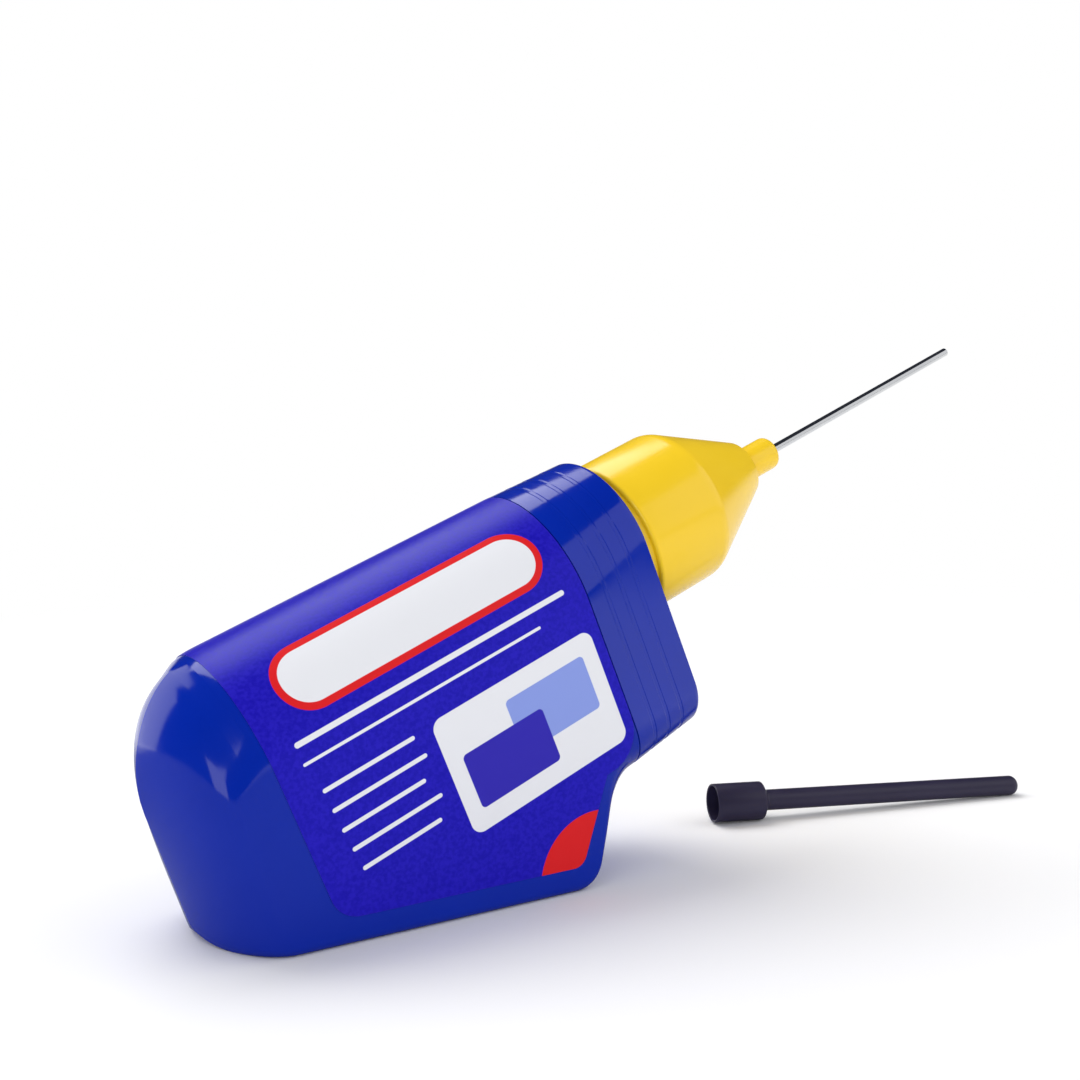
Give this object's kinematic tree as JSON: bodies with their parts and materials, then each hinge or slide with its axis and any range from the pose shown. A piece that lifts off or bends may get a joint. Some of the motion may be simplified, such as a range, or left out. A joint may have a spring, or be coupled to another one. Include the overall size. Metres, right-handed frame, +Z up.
{
  "type": "plastic cement bottle",
  "caption": "Flat squeeze bottle for liquid plastic cement, standing on its slanted base, with a conical needle nozzle that pulls off its neck and a slip-on needle cover lying beside it.",
  "frame": {"origin": "centre of the straight base line, on the floor", "axes": "+X along the base towards the needle, +Z up, Y across the bottle's thickness"},
  "size_m": [0.1082, 0.0234, 0.0563],
  "materials": {
    "bottle": "glossy blow-moulded blue plastic",
    "label": "printed film, satin",
    "cement": "clear liquid",
    "nozzle_cap": "satin yellow moulding",
    "needle": "drawn and polished",
    "needle_cover": "semi-gloss dark moulding"
  },
  "bodies": {
    "bottle": {"bottle": "bottle", "label": "label", "cement": "cement"},
    "nozzle": {"nozzle_cap": "nozzle_cap", "needle": "needle"},
    "needle_cover": {"needle_cover": "needle_cover"}
  },
  "joints": [
    {"name": "nozzle_pull", "type": "slide", "parent": "bottle", "child": "nozzle", "axis": [0.9313, 0, 0.3644], "range_m": [0, 0.014]},
    {"name": "cover_lift", "type": "slide", "parent": "bottle", "child": "needle_cover", "axis": [0, 0, 1], "range_m": [0, 0.02]}
  ]
}
